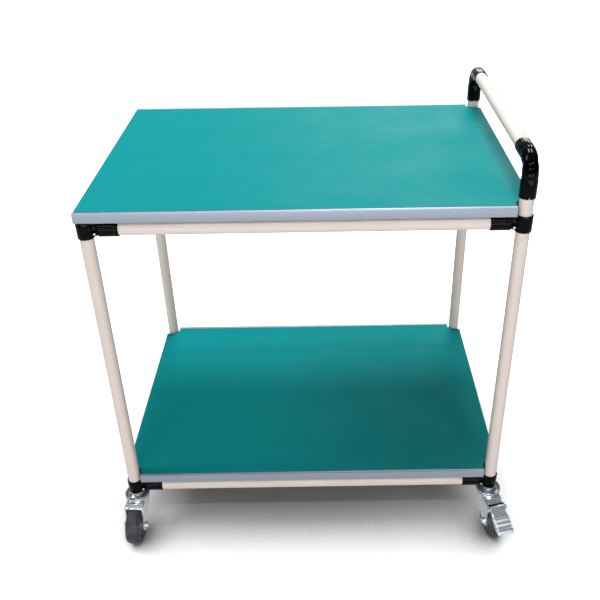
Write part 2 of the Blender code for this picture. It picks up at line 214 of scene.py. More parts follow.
def mat_top_finish():
    """Green rubber sheet: fine grain, calender streaks along X, faint rubbed patches and lint."""
    finish = Finish("mat_green", (0.0010, 0.232, 0.238), 0.60)
    finish.set_socket("Specular IOR Level", 0.046)
    patch = finish.noise(3.0, detail=4.0)
    finish.tint(patch, 0.38, 0.70, 0.35, (0.002, 0.222, 0.252))
    streak = finish.noise(60.0, stretch=(0.05, 1, 1), detail=5.0)
    finish.tint(streak, 0.40, 0.72, 0.30, (0.001, 0.196, 0.200))
    grain = finish.noise(650.0, detail=2.0)
    finish.tint(grain, 0.35, 0.7, 0.14, (0.001, 0.180, 0.188))
    lint = finish.noise(240.0, stretch=(1, 0.3, 1), detail=3.0)
    finish.tint(lint, 0.735, 0.79, 0.18, (0.16, 0.38, 0.38))
    finish.vary_roughness(finish.noise(11.0, detail=6.0), 0.3, 0.72, 0.48, 0.66)
    finish.bump(streak, 0.00004)
    finish.bump(grain, 0.00005)
    return finish.material


def mat_base_finish():
    finish = Finish("mat_black_layer", (0.012, 0.013, 0.014), 0.7)
    finish.tint(finish.noise(300.0), 0.4, 0.7, 0.4, (0.03, 0.032, 0.034))
    finish.bump(finish.noise(500.0), 0.00004)
    return finish.material


def board_finish():
    """Dark laminated board with a fine pebble and a slightly chalky wear."""
    finish = Finish("board_laminate", (0.030, 0.029, 0.028), 0.55)
    finish.tint(finish.noise(7.0, detail=6.0), 0.45, 0.75, 0.4, (0.055, 0.053, 0.050))
    finish.vary_roughness(finish.noise(30.0), 0.3, 0.7, 0.45, 0.7)
    finish.bump(finish.noise(800.0, detail=2.0), 0.00004)
    return finish.material


def tread_finish():
    """Dark grey rubber tread, with a lighter blue-grey painted highlight mottled over it."""
    finish = Finish("tread_rubber", (0.029, 0.032, 0.042), 0.45)
    painted_sheen = finish.noise(60.0, detail=6.0, distortion=0.5)
    # Painted highlight: a lighter blue-grey mottling that stands in for the tyre's sheen
    finish.tint(painted_sheen, 0.45, 0.68, 0.6, (0.088, 0.096, 0.122))
    finish.vary_roughness(finish.noise(70.0), 0.3, 0.7, 0.40, 0.66)
    finish.bump(finish.noise(900.0, detail=3.0), 0.00005)
    return finish.material


def core_finish():
    finish = Finish("wheel_core_nylon", (0.150, 0.156, 0.168), 0.42)
    finish.tint(finish.noise(90.0, detail=5.0), 0.5, 0.75, 0.4, (0.085, 0.090, 0.098))
    finish.vary_roughness(finish.noise(60.0), 0.3, 0.7, 0.34, 0.55)
    finish.bump(finish.noise(500.0, detail=2.0), 0.00003)
    return finish.material


COAT = coated_pipe_finish()
STEEL = steel_core_finish()
BLACK = black_joint_finish()
ZINC = zinc_finish("caster_zinc_plate", (0.75, 0.80, 0.855), 0.11, 0.24)
# Painted shade and reflection: the upper race is a darker copy of the caster zinc, standing in for the shade
# and the black joint's reflection in its dish
RACE_ZINC_WITH_PAINTED_SHADE = zinc_finish("race_zinc_painted_shade", (0.46, 0.49, 0.54), 0.12, 0.24)
PEDAL_ZINC = zinc_finish("pedal_zinc_plate", (0.79, 0.845, 0.91), 0.11, 0.24)
BOLT_ZINC = zinc_finish("bolt_zinc_plate", (0.66, 0.68, 0.70), 0.2, 0.4)
ALUMINIUM = edge_strip_finish()
GREEN = mat_top_finish()
MAT_BLACK = mat_base_finish()
BOARD = board_finish()
TREAD = tread_finish()
CORE = core_finish()


# Shapes

def loft(rings, closed=False):
    """Joins rings of points with quads, and caps the two ends or joins the last to the first."""
    shape = bmesh.new()
    made = [[shape.verts.new(point) for point in ring] for ring in rings]
    count = len(made[0])
    pairs = list(zip(made, made[1:]))
    if closed:
        pairs.append((made[-1], made[0]))
    for one, two in pairs:
        for i in range(count):
            j = (i + 1) % count
            shape.faces.new((one[i], one[j], two[j], two[i]))
    if not closed:
        shape.faces.new(made[0])
        shape.faces.new(made[-1])
    return shape


def circle(radius, height, sides):
    angles = [2 * math.pi * i / sides for i in range(sides)]
    return [(radius * math.cos(angle), radius * math.sin(angle), height) for angle in angles]


def turned(profile, sides, closed=False):
    """Turns a profile of (radius, height) points about Z. A closed profile makes a ring."""
    return loft([circle(radius, height, sides) for radius, height in profile], closed)


def mirrored(half):
    """A profile's (radius, height) points mirrored about height 0, in reverse order."""
    return [(radius, -height) for radius, height in reversed(half)]


def rod(radius, low, high, sides):
    return turned([(radius, low), (radius, high)], sides)


def moved(shape, matrix):
    shape.transform(matrix)
    return shape


def along_x(shape):
    """Lays a shape that was made along Z along X."""
    return moved(shape, TO_X)


def extruded(axis, outline, low, high):
    """Extrudes an outline from low to high along an axis. Its points lie on the other two axes."""
    return loft([[(*point[:axis], level, *point[axis:]) for point in outline] for level in (low, high)])


def arc(center, radius, start, stop, steps):
    """Points on an arc between two angles in degrees, both ends included."""
    angles = [math.radians(start + (stop - start) * i / steps) for i in range(steps + 1)]
    return [(center[0] + radius * math.cos(angle), center[1] + radius * math.sin(angle)) for angle in angles]


def rounded(outline, radius):
    """Rounds every corner of an outline with a curve that starts radius away from it."""
    steps = 3
    points = []
    count = len(outline)
    for i in range(count):
        before, corner, after = (Vector(outline[(i + k) % count]) for k in (-1, 0, 1))
        reach = min(radius, (before - corner).length * 0.45, (after - corner).length * 0.45)
        start = corner + (before - corner).normalized() * reach
        stop = corner + (after - corner).normalized() * reach
        for k in range(steps + 1):
            t = k / steps
            bent = start * (1 - t) ** 2 + corner * 2 * t * (1 - t) + stop * t ** 2
            points.append(tuple(bent))
    return points


def ease(value):
    """Smooth step from 0 to 1."""
    value = min(max(value, 0.0), 1.0)
    return value * value * (3 - 2 * value)


def mesh_of(shape, name="scratch"):
    """Turns a bmesh into a mesh and frees it."""
    mesh = bpy.data.meshes.new(name)
    shape.to_mesh(mesh)
    shape.free()
    return mesh


def add_object(name, data):
    made = bpy.data.objects.new(name, data)
    bpy.context.scene.collection.objects.link(made)
    return made


def face_outward(shape):
    bmesh.ops.recalc_face_normals(shape, faces=shape.faces)
    if shape.calc_volume(signed=True) < 0:
        bmesh.ops.reverse_faces(shape, faces=shape.faces)


def combine(shape, tool_shape, operation):
    """Applies an exact Boolean to two bmeshes, frees them and gives the result."""
    holders = []
    for source in (shape, tool_shape):
        face_outward(source)
        holders.append(add_object("scratch", mesh_of(source)))
    base, tool = holders
    modifier = base.modifiers.new("combine", "BOOLEAN")
    modifier.operation = operation
    modifier.solver = "EXACT"
    modifier.object = tool
    result = bmesh.new()
    result.from_object(base, bpy.context.evaluated_depsgraph_get())
    bmesh.ops.remove_doubles(result, verts=result.verts, dist=1e-6)
    for holder in holders:
        bpy.data.objects.remove(holder)
    return result


def join(*shapes):
    """Puts separate closed shapes into one bmesh, each facing outward."""
    whole = bmesh.new()
    for shape in shapes:
        face_outward(shape)
        mesh = mesh_of(shape)
        whole.from_mesh(mesh)
        bpy.data.meshes.remove(mesh)
    return whole


def join_kept(shape, *others):
    """Joins more closed shapes onto one that already has its facing and its material indices."""
    mesh = mesh_of(join(*others))
    shape.from_mesh(mesh)
    bpy.data.meshes.remove(mesh)
    return shape


def add_piece(name, shape, materials, body, slot, stands_for, place=IDENTITY,
              edge=0.0, sharp=35, whole=True):
    """Adds a piece that rides on a body. A whole shape is one closed body, turned to face outward."""
    if whole:
        face_outward(shape)
    mesh = mesh_of(shape, name)
    for material in materials:
        mesh.materials.append(material)
    mesh.shade_smooth()
    mesh.set_sharp_from_angle(angle=math.radians(sharp))
    made = add_object(name, mesh)
    made.matrix_world = place
    if edge:
        bevel = made.modifiers.new("edge", "BEVEL")
        bevel.width = edge
        bevel.segments = 2
        bevel.limit_method = "ANGLE"
        bevel.angle_limit = math.radians(sharp)
    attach(made, body)
    if stands_for:
        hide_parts(*stands_for)


def at(x, y, z):
    return Matrix.Translation((x, y, z))


def middle(node):
    low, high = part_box(node)
    return (low + high) / 2


# Frame pipes

PIPE_WALL = 0.0018
COAT_THICK = 0.0008


def pipe_shape(radius, length):
    """A coated tube along Z from 0, with its steel core showing at the cut ends."""
    soft = 0.0003
    inner = radius - PIPE_WALL
    core = radius - COAT_THICK
    profile = [(inner, 0.0), (core, 0.0), (radius - soft, 0.0), (radius, soft)]
    profile += [(radius, length - soft), (radius - soft, length), (core, length), (inner, length)]
    shape = turned(profile, PIPE_SIDES, closed=True)
    for face in shape.faces:
        center = face.calc_center_median()
        face.material_index = 1 if center.xy.length < core - 0.0001 else 0
    return shape


def make_pipe(node):
    low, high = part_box(node)
    size = high - low
    length = max(size)
    axis = list(size).index(length)
    start = (low + high) / 2
    start[axis] = low[axis]
    turn = (TO_X, TO_Y, IDENTITY)[axis]
    radius = (sum(size) - length) / 4
    shape = pipe_shape(radius, length)
    place = Matrix.Translation(start) @ turn
    add_piece(node.replace("post", "post_pipe"), shape, [COAT, STEEL], "frame", "coated_pipe", [node], place)


PIPE_NODES = [name for name in sorted(frame["nodes"]) if name.startswith("post_") or "_rail_" in name]
PIPE_NODES.append("handle_bar")
for pipe_node in PIPE_NODES:
    make_pipe(pipe_node)


# Clamp joints

PIPE_RADIUS = (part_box("handle_bar")[1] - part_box("handle_bar")[0]).x / 2
BORE_RADIUS = PIPE_RADIUS + 0.0002
SLEEVE_RADIUS = 0.0162
SLEEVE_REACH = 0.066
BOLT_REACH = 0.0205
BOLT_DROP = 0.0062
NECK_HALF_WIDTH = 0.0086
NECK_HALF_HEIGHT = 0.0149
COLLAR_RADIUS = 0.0168
SEAM = 0.0003


def joint_arm():
    """An arm along X, pinched to a neck beside the collar and swelling to the pipe's sleeve."""
    stations = [0.006 + 0.0012 * i for i in range(24)]
    stations += [0.038, 0.048, 0.058, 0.0648, 0.0655, 0.0659, SLEEVE_REACH]
    rings = []
    for x in stations:
        to_collar = ease((0.0186 - x) / 0.0076)
        to_foot = ease((0.0245 - x) / 0.0090)
        to_sleeve = ease((x - 0.0236) / 0.0040)
        half_width = NECK_HALF_WIDTH + 0.0050 * to_collar + (SLEEVE_RADIUS - NECK_HALF_WIDTH) * to_sleeve
        above = NECK_HALF_HEIGHT + (SLEEVE_RADIUS - NECK_HALF_HEIGHT) * to_sleeve
        below = above + 0.0027 * to_foot
        rolled = 0.0008 * max(0.0, (x - 0.0648) / (SLEEVE_REACH - 0.0648)) ** 2
        ring = []
        for i in range(64):
            angle = 2 * math.pi * i / 64
            half_height = (above if angle < math.pi else below) - rolled
            ring.append((x, (half_width - rolled) * math.cos(angle), half_height * math.sin(angle)))
        rings.append(ring)
    return loft(rings)


def three_way_joint(low, high, bore_start):
    """A whole pressed joint: its collar on Z and its arms along +X and +Y."""
    rim = 0.0007
    collar = [(COLLAR_RADIUS - rim, low), (COLLAR_RADIUS - rim * 0.3, low + rim * 0.3)]
    collar += [(COLLAR_RADIUS, low + rim), (COLLAR_RADIUS, high - rim)]
    collar += [(COLLAR_RADIUS - rim * 0.3, high - rim * 0.3), (COLLAR_RADIUS - rim, high)]
    shape = turned(collar, PIPE_SIDES)
    quarter = Matrix.Rotation(math.pi / 2, 4, "Z")
    shape = combine(shape, joint_arm(), "UNION")
    shape = combine(shape, moved(joint_arm(), quarter), "UNION")
    for turn in (TO_X, TO_Y):
        bore = moved(rod(BORE_RADIUS, bore_start, SLEEVE_REACH + 0.01, PIPE_SIDES), turn)
        shape = combine(shape, bore, "DIFFERENCE")
    return combine(shape, rod(BORE_RADIUS, low - 0.01, high + 0.01, PIPE_SIDES), "DIFFERENCE")


def hex_outline(across, height):
    """A hexagon ring with four points a side, for lofting to a round ring."""
    ring = []
    for i in range(HEX_SIDES):
        angle = 2 * math.pi * i / HEX_SIDES
        radius = across / 2 / math.cos(math.remainder(angle, math.pi / 3))
        ring.append((radius * math.cos(angle), radius * math.sin(angle), height))
    return ring


def hex_solid(across, low, high, chamfer_high=True):
    """A hexagonal head or nut along Z with a turned chamfer at the low end, or at both ends."""
    drop = across * 0.05
    face = across / 2 * 0.99
    hex_top = high - drop * chamfer_high
    rings = [circle(face, low, HEX_SIDES), hex_outline(across, low + drop), hex_outline(across, hex_top)]
    if chamfer_high:
        rings.append(circle(face, high, HEX_SIDES))
    return loft(rings)


def washer(inner, outer, low, high):
    soft = min(0.0002, (high - low) / 3)
    profile = [(inner, low), (outer - soft, low), (outer, low + soft), (outer, high - soft)]
    profile += [(outer - soft, high), (inner, high)]
    return turned(profile, 48, closed=True)


def threaded_end(radius, low, high, pitch=0.0008):
    """A short screw end along Z with its thread shown as fine grooves."""
    profile = [(radius * 0.8, low)]
    turns = max(1, round((high - low) / pitch))
    for i in range(turns):
        bottom = low + (high - low) * i / turns
        profile += [(radius * 0.88, bottom + pitch * 0.1), (radius, bottom + pitch * 0.5)]
    profile += [(radius * 0.88, high - pitch * 0.2), (radius * 0.7, high)]
    return turned(profile, 24)


def clamp_bolt(half_grip):
    """A hex screw along Z through a grip about the origin, with black washers and a nut on +Z."""
    radius = 0.0025
    hole = radius + 0.0001
    flats = 0.0080
    seat = half_grip + 0.0009
    tip = half_grip + 0.0044
    head = washer(hole, 0.0050, -seat, -half_grip)
    cap = hex_solid(flats, -tip, -seat, chamfer_high=False)
    spread = washer(hole, 0.0050, half_grip, seat)
    nut = hex_solid(flats, seat, tip)
    shape = join(head, cap, spread, nut)
    for face in shape.faces:
        face.material_index = 1
    shank = rod(radius, -half_grip - 0.0010, half_grip + 0.001, 24)
    end = threaded_end(radius, half_grip + 0.0008, half_grip + 0.0060)
    return join_kept(shape, shank, end)


def add_bolts(name, shape, matrix, place):
    """Adds clamp bolts moved by a matrix, which may mirror them."""
    shape.transform(matrix)
    if matrix.determinant() < 0:
        bmesh.ops.reverse_faces(shape, faces=shape.faces)
    add_piece(name, shape, [BOLT_ZINC, BLACK], "frame", "caster_zinc", (), place, whole=False)


def make_corner_joints():
    """Both half shells of every corner joint and the two bolts that clamp them."""
    low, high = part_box("upper_joint_front_left_outer")
    rail = middle("upper_rail_front").z
    post = middle("post_front_left")
    bore_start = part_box("upper_rail_front")[0].x - post.x - FIT_GAP
    reach = 0.1
    whole = three_way_joint(low.z - rail, high.z - rail, bore_start)
    half_seam = SEAM / 2
    shells = {}
    for half, edge, operation in (("outer", -half_seam, "DIFFERENCE"), ("inner", half_seam, "INTERSECT")):
        outline = [(edge, edge), (reach, edge), (reach, reach), (edge, reach)]
        shells[half] = combine(whole.copy(), extruded(Z, outline, -reach, reach), operation)
    whole.free()
    along_arm = at(BOLT_REACH, 0, -BOLT_DROP) @ Matrix.Rotation(math.pi / 2, 4, "X")
    bolts = join(
        moved(clamp_bolt(NECK_HALF_WIDTH), along_arm),
        moved(clamp_bolt(NECK_HALF_WIDTH), SWAP_XY @ along_arm),
    )
    for level in LEVELS:
        height = middle(level + "_rail_front").z
        for corner in CORNERS:
            center = middle("post_" + corner)
            mirror = Matrix.Diagonal((-math.copysign(1, center.x), -math.copysign(1, center.y), 1, 1))
            place = at(center.x, center.y, height)
            name = f"{level}_joint_{corner}"
            for half, shell in shells.items():
                node = f"{name}_{half}"
                shape = moved(shell.copy(), mirror)
                piece = node.replace("joint", "clamp")
                add_piece(piece, shape, [BLACK], "frame", "black_joint", [node], place)
            add_bolts(name.replace("joint", "clamp_bolts"), bolts.copy(), mirror, place)
    for shape in (*shells.values(), bolts):
        shape.free()


make_corner_joints()


# Elbows

ELBOW_BEND = 0.034
BEND_RADIUS = 0.0155
DIMPLE_RADIUS = 0.0078
DIMPLE_FACE = 0.0086


def elbow_stations(leg):
    """(y, z, tilt) along the elbow's middle line, post leg on Z and bar leg on +Y."""
    straight = (leg, leg - 0.0006, leg - 0.0030, leg - 0.0036, leg * 0.75)
    straight += (ELBOW_BEND + 0.0045, ELBOW_BEND + 0.0022)
    stations = [(0.0, -along, 0.0) for along in straight]
    steps = 28
    for i in range(steps + 1):
        tilt = math.pi / 2 * i / steps
        stations.append((ELBOW_BEND * (1 - math.cos(tilt)), ELBOW_BEND * (math.sin(tilt) - 1), tilt))
    stations += [(along, 0.0, math.pi / 2) for along in reversed(straight)]
    return stations


def elbow_half(side, leg):
    """Half of a pressed elbow, with a pressed-in seat for its clamp bolt in the bend."""
    lip = [-90.0, -88.5, -86.5, -84.0, -81.0, -77.0]
    angles = [*lip, *(-72.0 + 6.0 * i for i in range(25)), *(-angle for angle in reversed(lip))]
    outer = [(math.cos(math.radians(angle)), math.sin(math.radians(angle))) for angle in angles]
    inner = list(reversed(outer))
    stations = elbow_stations(leg)
    seat_y = ELBOW_BEND * (1 - math.cos(math.pi / 4))
    seat_z = ELBOW_BEND * (math.sin(math.pi / 4) - 1)
    rings = []
    for index, (y, z, tilt) in enumerate(stations):
        from_end = min(index, len(stations) - 1 - index)
        radius = SLEEVE_RADIUS - (0.0005 if from_end == 0 else 0.0)
        if from_end > 5:
            radius = BEND_RADIUS
        notch = 0.0011 if from_end < 3 else 0.0
        pinch = 0.050 if from_end > 5 else 0.022
        ring = []
        for arc_points, size in ((outer, radius), (inner, BORE_RADIUS)):
            for out, across in arc_points:
                reach = across * size
                if size == radius:
                    reach *= 1 - pinch * (1 - ease(out * size / 0.0024))
                point = Vector((
                    max(out * size, notch) + SEAM / 2,
                    y - reach * math.cos(tilt),
                    z + reach * math.sin(tilt),
                ))
                away = math.hypot(point.y - seat_y, point.z - seat_z)
                limit = DIMPLE_FACE - (SLEEVE_RADIUS - size)
                over = point.x - limit
                if over > 0:
                    point.x -= over * (1 - ease((away - DIMPLE_RADIUS * 0.7) / (DIMPLE_RADIUS * 0.5)))
                ring.append((side * point.x, point.y, point.z))
        rings.append(ring)
    return loft(rings), (seat_y, seat_z)


def make_elbows():
    for depth in ("front", "back"):
        center = middle(f"post_{depth}_right")
        inward = -math.copysign(1, center.y)
        place = at(center.x, center.y, middle("handle_bar").z)
        leg = middle("handle_bar").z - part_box(f"elbow_{depth}_outer")[0].z
        mirror = Matrix.Diagonal((1, inward, 1, 1))
        for half, side in (("outer", 1), ("inner", -1)):
            node = f"elbow_{depth}_{half}"
            shape, seat = elbow_half(side, leg)
            shape = moved(shape, mirror)
            piece = node.replace("elbow", "elbow_shell")
            add_piece(piece, shape, [BLACK], "frame", "black_joint", [node], place)
        add_bolts(f"elbow_bolt_{depth}", clamp_bolt(DIMPLE_FACE), mirror @ at(0, *seat) @ TO_X, place)


make_elbows()


# Decks

MAT_INSET = 0.0007
MAT_GRID = 0.024
MAT_FLAT_RIM = 0.03


def deck_outline(low, high, corners, radius, posts):
    """A deck's outline within low and high, with a round notch about the post at each named corner."""
    turns = (("front_left", 90, 0), ("front_right", 180, 90))
    turns += (("back_right", 270, 180), ("back_left", 360, 270))
    outline = []
    for corner, start, stop in turns:
        edge = (high.x if "right" in corner else low.x, high.y if "back" in corner else low.y)
        if corner not in corners:
            outline += rounded_corner(edge, low)
            continue
        post = posts[corner]
        points = arc((post.x, post.y), radius, start, stop, 20)
        along_y_first = corner in ("front_left", "back_right")
        first, last = points[0], points[-1]
        outline.append((edge[0], first[1]) if along_y_first else (first[0], edge[1]))
        outline += points
        outline.append((last[0], edge[1]) if along_y_first else (edge[0], last[1]))
    return outline


def rounded_corner(corner, low):
    """Three points that take the sharpness off an outer corner, in counterclockwise order."""
    soft = 0.0012
    inward_x = soft if corner[0] == low.x else -soft
    inward_y = soft if corner[1] == low.y else -soft
    one = (corner[0], corner[1] + inward_y)
    two = (corner[0] + inward_x * 0.3, corner[1] + inward_y * 0.3)
    three = (corner[0] + inward_x, corner[1])
    if (inward_x > 0) == (inward_y > 0):
        return [one, two, three]
    return [three, two, one]


def sliced(shape, low, high, spacing):
    """Cuts a flat-topped solid into a grid, so that its faces can be given a slight unevenness."""
    for axis in range(2):
        count = int((high[axis] - low[axis]) / spacing)
        for i in range(1, count):
            point = Vector()
            point[axis] = low[axis] + (high[axis] - low[axis]) * i / count
            normal = Vector()
            normal[axis] = 1
            geometry = shape.verts[:] + shape.edges[:] + shape.faces[:]
            bmesh.ops.bisect_plane(shape, geom=geometry, plane_co=point, plane_no=normal)
    return shape


def mat_unevenness(x, y):
    """How far the laid rubber sheet rises and dips, in metres."""
    wide = noise.noise(Vector((x * 3.1, y * 4.3, 0.4)))
    fine = noise.noise(Vector((x * 9.0, y * 11.0, 2.7)))
    return 0.00016 * wide + 0.00006 * fine


def make_decks():
    posts = {corner: middle("post_" + corner) for corner in CORNERS}
    # The lower strips end where the round notches about the posts begin
    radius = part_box("lower_edge_strip_front")[0].x - posts["front_left"].x
    notched = {"upper": ("front_right", "back_right"), "lower": CORNERS}
    for level in LEVELS:
        node = level + "_board"
        low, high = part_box(node)
        outline = deck_outline(low, high, notched[level], radius, posts)
        board = extruded(Z, outline, low.z, high.z)
        add_piece(level + "_deck_board", board, [BOARD], "frame", "board", [node], edge=0.0004, sharp=50)
        node = level + "_mat"
        low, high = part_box(node)
        outline = deck_outline(low, high, notched[level], radius, posts)
        inset = Vector((MAT_INSET, MAT_INSET, 0))
        top_outline = deck_outline(low + inset, high - inset, notched[level], radius + MAT_INSET, posts)
        add_mat(level, node, outline, top_outline, low, high)
        for side in ("front", "back"):
            make_strip(level, side)


def add_mat(level, node, outline, top_outline, low, high):
    """A two-layer rubber sheet: a black layer, and the green one a little short of its edge."""
    soft = 0.0003
    base_top = low.z + 0.0006
    base = extruded(Z, outline, low.z, base_top)
    name = level + "_deck_mat"
    add_piece(name + "_base", base, [MAT_BLACK], "frame", "green_mat", (), edge=0.0001, sharp=50)
    top = extruded(Z, top_outline, base_top, high.z - 0.00008)
    top = sliced(top, low, high, MAT_GRID)
    for vert in top.verts:
        if vert.co.z < base_top + soft:
            continue
        inside = min(vert.co.x - low.x, high.x - vert.co.x, vert.co.y - low.y, high.y - vert.co.y)
        vert.co.z += mat_unevenness(vert.co.x, vert.co.y) * ease(inside / MAT_FLAT_RIM)
        vert.co.z = min(vert.co.z, high.z)
    add_piece(name, top, [GREEN], "frame", "green_mat", [node], edge=soft, sharp=50)


def make_strip(level, side):
    """An aluminium channel with rounded corners, a small inner hook and cleanly sawn ends."""
    node = f"{level}_edge_strip_{side}"
    low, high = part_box(node)
    outward = math.copysign(1, low.y)
    depth = high.y - low.y
    height = high.z - low.z
    wall = 0.0012
    lip = 0.0016
    outline = [
        (0, 0), (0, height), (-depth, height), (-depth, height - lip), (-wall, height - lip), (-wall, wall),
        (-depth, wall), (-depth, 0),
    ]
    outer_face = max(abs(low.y), abs(high.y))
    outline = [(outward * (outer_face + y), low.z + z) for y, z in rounded(outline, 0.0006)]
    shape = extruded(X, outline, low.x, high.x)
    add_piece(f"{level}_edge_channel_{side}", shape, [ALUMINIUM], "frame", "edge_strip", [node],
              edge=0.00015, sharp=50)


make_decks()


# Casters, each made with its swivel axis on Z and its wheel trailing toward -Y

def caster_place(corner):
    """The matrix that puts a caster made at the origin under its post, turned as its wheel is."""
    swivel = JOINTS[corner + "_swivel"]["pos_m"]
    axis = JOINTS[corner + "_wheel_spin"]["axis"]
    return at(swivel[0], swivel[1], 0) @ Matrix.Rotation(math.atan2(axis[1], axis[0]), 4, "Z")


AXLE_SPOT = Vector(JOINTS["front_left_wheel_spin"]["pos_m"])
AXLE_HEIGHT = AXLE_SPOT.z
TRAIL = (AXLE_SPOT - Vector(JOINTS["front_left_swivel"]["pos_m"])).xy.length
WHEEL_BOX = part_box("caster_wheel_front_left")
WHEEL_RADIUS = (WHEEL_BOX[1] - WHEEL_BOX[0]).z / 2
HUB_HALF_WIDTH = (WHEEL_BOX[1] - WHEEL_BOX[0]).x / 2
LEG_INNER = HUB_HALF_WIDTH + FIT_GAP
LEG_THICK = 0.003
LEG_OUTER = LEG_INNER + LEG_THICK
CROWN_TOP = 0.101
CROWN_BEND = 0.0042
CROWN_FOLD = -0.029
CROWN_FRONT = (-0.0405, 0.0935)
POST_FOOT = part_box("post_front_left")[0].z
HEAD_RADIUS = 0.0285
BALL_RADIUS = 0.0021
BALL_CIRCLE = 0.0232
BALL_HEIGHT = 0.1054
AXLE_RADIUS = 0.005
PIN_RADIUS = 0.003


def upper_race():
    """The dished upper race, with a rolled rim that covers the balls."""
    profile = [
        (0.0100, 0.1120), (0.0146, 0.1119), (0.0164, 0.1112), (0.0178, 0.1098), (0.0200, 0.1092),
        (0.0222, 0.1098), (0.0240, 0.1120), (0.0254, 0.1134), (0.0266, 0.1136), (0.0277, 0.1130),
        (0.0283, 0.1120), (HEAD_RADIUS, 0.1104), (HEAD_RADIUS, 0.1068), (0.0281, 0.1060), (0.0272, 0.1062),
        (0.0268, 0.1082), (0.0250, 0.1096), (0.0225, 0.1088), (0.0200, 0.1078), (0.0180, 0.1074),
        (0.0100, 0.1074),
    ]
    return turned(profile, FINE_SIDES, closed=True)


def stem():
    """The stem that fills the post's foot, its hex collar, and the kingpin with its rivet head."""
    collar = hex_solid(0.0250, 0.1135, POST_FOOT - FIT_GAP)
    stem_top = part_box("caster_head_front_left")[1].z
    shank = turned([(0.0114, 0.1130), (0.0115, stem_top - 0.002), (0.0100, stem_top)], 48)
    boss = washer(0.0100, 0.0144, 0.1116, 0.1138)
    kingpin = [(0.0060, 0.1125), (0.0060, 0.0975), (0.0096, 0.0972), (0.0098, 0.0964)]
    kingpin += [(0.0088, 0.0952), (0.0062, 0.0945), (0.0020, 0.0943)]
    return join(collar, shank, boss, turned(kingpin, 48))


def ball_race():
    """The bearing balls between the two races."""
    shape = bmesh.new()
    count = 30
    for i in range(count):
        angle = 2 * math.pi * i / count
        spot = at(BALL_CIRCLE * math.cos(angle), BALL_CIRCLE * math.sin(angle), BALL_HEIGHT)
        bmesh.ops.create_icosphere(shape, subdivisions=2, radius=BALL_RADIUS, matrix=spot)
    return shape


def leg_outline(braked, pin):
    """Side view of a fork leg: wide at the crown, round about the axle, (y, z) points."""
    foot = arc((-TRAIL, AXLE_HEIGHT), 0.013, -10, -200, 24)
    front = [(-0.0440, 0.0700), (-0.0410, 0.0920), (-0.0400, 0.0938)]
    if braked:
        front = [(-0.0500, 0.0700), *arc((pin.y, pin.z), 0.0065, 250, 70, 14)]
    rear = [(CROWN_FOLD, CROWN_TOP), (0.0250, CROWN_TOP), (0.0235, 0.0900)]
    return foot + front + rear


def crown_flange():
    """The front of the crown, folded down over the wheel between the legs."""
    fold = CROWN_FOLD
    low = CROWN_TOP - LEG_THICK
    tip_y, tip_z = CROWN_FRONT
    top = [(fold + 0.0030, CROWN_TOP), (fold + 0.0004, CROWN_TOP - 0.0001)]
    top += [(fold - 0.0018, CROWN_TOP - 0.0010), (tip_y + 0.0004, tip_z + 0.0004), (tip_y, tip_z)]
    under = [(tip_y + 0.0012, tip_z - 0.0022), (tip_y + 0.0018, tip_z - 0.0024)]
    under += [(fold - 0.0006, low - 0.0006), (fold + 0.0010, low), (fold + 0.0030, low)]
    return extruded(X, top + under, -LEG_INNER - 0.001, LEG_INNER + 0.001)


def crown_step():
    """The low round step pressed up in the crown under the race, as wide as the crown allows."""
    low = CROWN_TOP - 0.0012
    high = CROWN_TOP + 0.0014
    profile = [(0.0120, low), (0.0304, low), (0.0304, CROWN_TOP + 0.0003), (0.0294, high), (0.0120, high)]
    step = turned(profile, FINE_SIDES, closed=True)
    rear = 0.0248
    half_width = 0.0188
    band = [(-0.04, 0.09), (rear, 0.09), (rear, 0.11), (-0.04, 0.11)]
    return combine(step, extruded(X, band, -half_width, half_width), "INTERSECT")


def fork(braked, pin):
    """A fork bent from plate: rounded shoulders, legs cut to shape, and the lower race pressed up."""
    bend = CROWN_BEND
    inner_bend = bend - LEG_THICK
    low = 0.02
    through = 0.03
    outer = [(LEG_OUTER, low), *arc((LEG_OUTER - bend, CROWN_TOP - bend), bend, 0, 90, 8)]
    inner = [(LEG_INNER, low), *arc((LEG_OUTER - bend, CROWN_TOP - bend), inner_bend, 0, 90, 8)]
    section = outer + [(-x, z) for x, z in reversed(outer)]
    section += [(-x, z) for x, z in inner] + list(reversed(inner))
    plate = extruded(Y, section, -0.07, 0.04)
    side = extruded(X, leg_outline(braked, pin), -through, through)
    shape = combine(plate, side, "INTERSECT")
    open_front = [(-0.08, 0.09), (CROWN_FOLD, 0.09), (CROWN_FOLD, 0.11), (-0.08, 0.11)]
    shape = combine(shape, extruded(X, open_front, -LEG_INNER, LEG_INNER), "DIFFERENCE")
    shape = combine(shape, crown_flange(), "UNION")
    shape = combine(shape, crown_step(), "UNION")
    race = [
        (radius, CROWN_TOP + above) for radius, above in (
            (0.0120, -LEG_THICK), (0.0262, -LEG_THICK), (0.0270, -0.0010), (0.0268, 0.0020), (0.0256, 0.0034),
            (0.0240, 0.0027), (0.0222, 0.0027), (0.0200, 0.0046), (0.0150, 0.0048), (0.0120, 0.0046),
        )
    ]
    shape = combine(shape, turned(race, FINE_SIDES), "UNION")
    shape = combine(shape, rod(0.0064, 0.09, 0.12, 48), "DIFFERENCE")
    holes = [(Vector((0, -TRAIL, AXLE_HEIGHT)), AXLE_RADIUS)]
    if braked:
        holes.append((pin, PIN_RADIUS))
    for place, radius in holes:
        hole = moved(along_x(rod(radius + FIT_GAP, -through, through, 40)), Matrix.Translation(place))
        shape = combine(shape, hole, "DIFFERENCE")
    return shape


